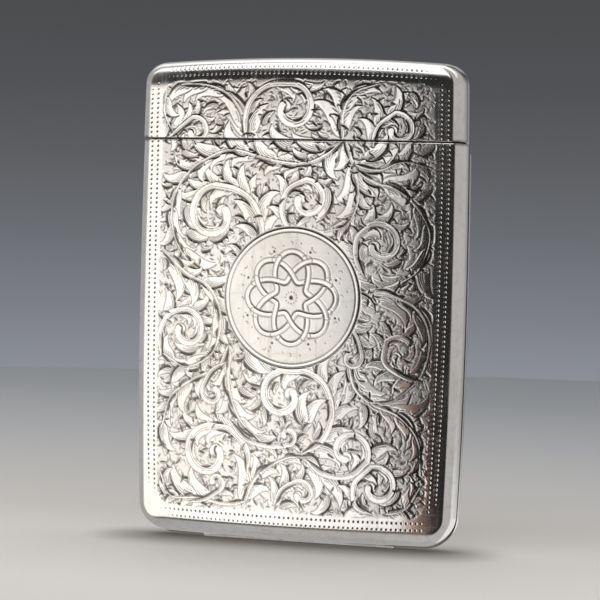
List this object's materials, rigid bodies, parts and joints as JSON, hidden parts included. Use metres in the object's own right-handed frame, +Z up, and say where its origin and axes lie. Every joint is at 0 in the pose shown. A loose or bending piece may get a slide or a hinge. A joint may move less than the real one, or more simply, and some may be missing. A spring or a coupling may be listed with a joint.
{
  "type": "card case",
  "caption": "Slim silver card case with a convex engraved front that drops open at the foot and a lid hinged across the back.",
  "frame": {"origin": "under the middle of the case, on the surface that it stands on", "axes": "+Z up along the case's height, X across its width, the engraved front faces -Y and the flat back +Y"},
  "size_m": [0.0656, 0.0122, 0.095],
  "materials": {
    "silver_engraved": "polished silver, engraved",
    "silver_shell": "polished silver",
    "silver_hinge": "polished silver, worn",
    "silver_inside": "satin silver",
    "hinge_pin": "satin"
  },
  "bodies": {
    "case": {"back_shell": "silver_shell", "mouth_collar": "silver_inside", "rim_left": "silver_inside", "rim_right": "silver_inside", "rim_foot": "silver_inside", "base_knuckle_2": "silver_hinge", "base_knuckle_4": "silver_hinge", "base_pin": "hinge_pin", "lid_knuckle_1": "silver_hinge", "lid_knuckle_3": "silver_hinge", "lid_knuckle_5": "silver_hinge", "lid_knuckle_7": "silver_hinge", "lid_pin": "hinge_pin"},
    "front": {"front_cover": "silver_engraved", "base_knuckle_1": "silver_hinge", "base_knuckle_3": "silver_hinge"},
    "top": {"lid": "silver_engraved", "lid_knuckle_2": "silver_hinge", "lid_knuckle_4": "silver_hinge", "lid_knuckle_6": "silver_hinge"}
  },
  "joints": [
    {"name": "front_hinge", "type": "hinge", "parent": "case", "child": "front", "pos_m": [0, 0.00287, 0.0006], "axis": [1, 0, 0], "range_deg": [0, 90]},
    {"name": "lid_hinge", "type": "hinge", "parent": "case", "child": "top", "pos_m": [0, 0.00543, 0.077], "axis": [-1, 0, 0], "range_deg": [0, 110]}
  ]
}
